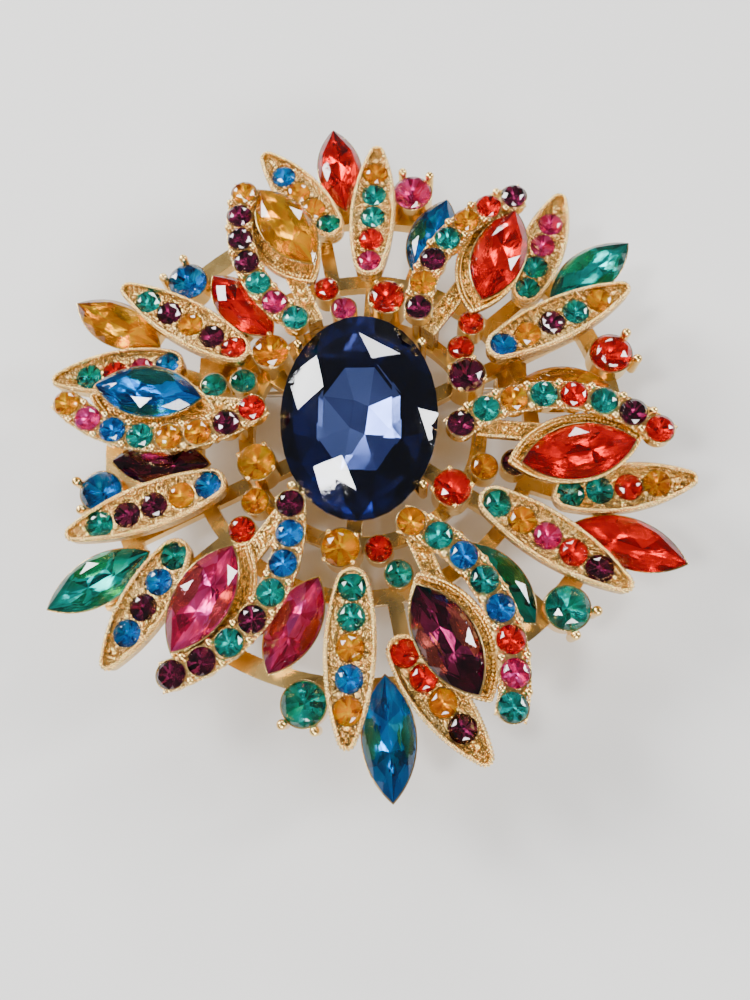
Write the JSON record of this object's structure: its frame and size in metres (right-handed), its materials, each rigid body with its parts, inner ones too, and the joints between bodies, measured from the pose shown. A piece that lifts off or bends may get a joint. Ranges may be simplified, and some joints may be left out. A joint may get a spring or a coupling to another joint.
{
  "type": "brooch",
  "caption": "Round openwork dress brooch: large oval stone ringed by leaves, sprays and navettes set with coloured glass, with a hinged pin and a safety catch behind.",
  "frame": {"origin": "middle of the brooch's plan, at the lowest point of the pin fittings it lies on", "axes": "+Z out of the stones, +Y towards the wearer's head along the oval stone, +X along the pin towards the catch"},
  "size_m": [0.0745, 0.0835, 0.016],
  "materials": {
    "gold_plate": "bright cast gold plate, granular in the troughs",
    "pin_wire": "drawn wire",
    "sapphire_glass": "facet-cut, foil backed",
    "red_glass": "facet-cut, foil backed",
    "amber_glass": "facet-cut, foil backed",
    "emerald_glass": "facet-cut, foil backed",
    "blue_glass": "facet-cut, foil backed",
    "rose_glass": "facet-cut, foil backed",
    "plum_glass": "facet-cut, foil backed"
  },
  "bodies": {
    "brooch": {"back_frame": "gold_plate", "oval_setting": "gold_plate", "long_leaf_1": "gold_plate", "long_leaf_2": "gold_plate", "long_leaf_3": "gold_plate", "long_leaf_4": "gold_plate", "long_leaf_5": "gold_plate", "long_leaf_6": "gold_plate", "short_leaf_1": "gold_plate", "short_leaf_2": "gold_plate", "short_leaf_3": "gold_plate", "short_leaf_4": "gold_plate", "short_leaf_5": "gold_plate", "short_leaf_6": "gold_plate", "spray_1": "gold_plate", "spray_2": "gold_plate", "spray_3": "gold_plate", "spray_4": "gold_plate", "spray_5": "gold_plate", "spray_6": "gold_plate", "branch_leaves": "gold_plate", "upper_navette_cups": "gold_plate", "outer_navette_cups": "gold_plate", "lower_navette_cups": "gold_plate", "outer_collets": "gold_plate", "inner_collets": "gold_plate", "twin_collets": "gold_plate", "gap_beads": "gold_plate", "pin_base": "gold_plate", "hinge_rivet": "gold_plate", "catch_body": "gold_plate", "oval_stone": "sapphire_glass", "red_navettes": "red_glass", "amber_navettes": "amber_glass", "emerald_navettes": "emerald_glass", "blue_navettes": "blue_glass", "rose_navettes": "rose_glass", "plum_navettes": "plum_glass", "red_chatons": "red_glass", "amber_chatons": "amber_glass", "emerald_chatons": "emerald_glass", "blue_chatons": "blue_glass", "rose_chatons": "rose_glass", "plum_chatons": "plum_glass", "red_brilliants": "red_glass", "amber_brilliants": "amber_glass", "emerald_brilliants": "emerald_glass", "blue_brilliants": "blue_glass", "rose_brilliants": "rose_glass", "plum_brilliants": "plum_glass"},
    "pin": {"pin_stem": "pin_wire"},
    "safety_sleeve": {"catch_sleeve": "gold_plate"}
  },
  "joints": [
    {"name": "pin_hinge", "type": "hinge", "parent": "brooch", "child": "pin", "pos_m": [-0.0183, 0.008, 0.0019], "axis": [0, 1, 0], "range_deg": [0, 75]},
    {"name": "sleeve_turn", "type": "hinge", "parent": "brooch", "child": "safety_sleeve", "pos_m": [0.0183, 0.008, 0.0019], "axis": [1, 0, 0], "range_deg": [0, 120]}
  ]
}
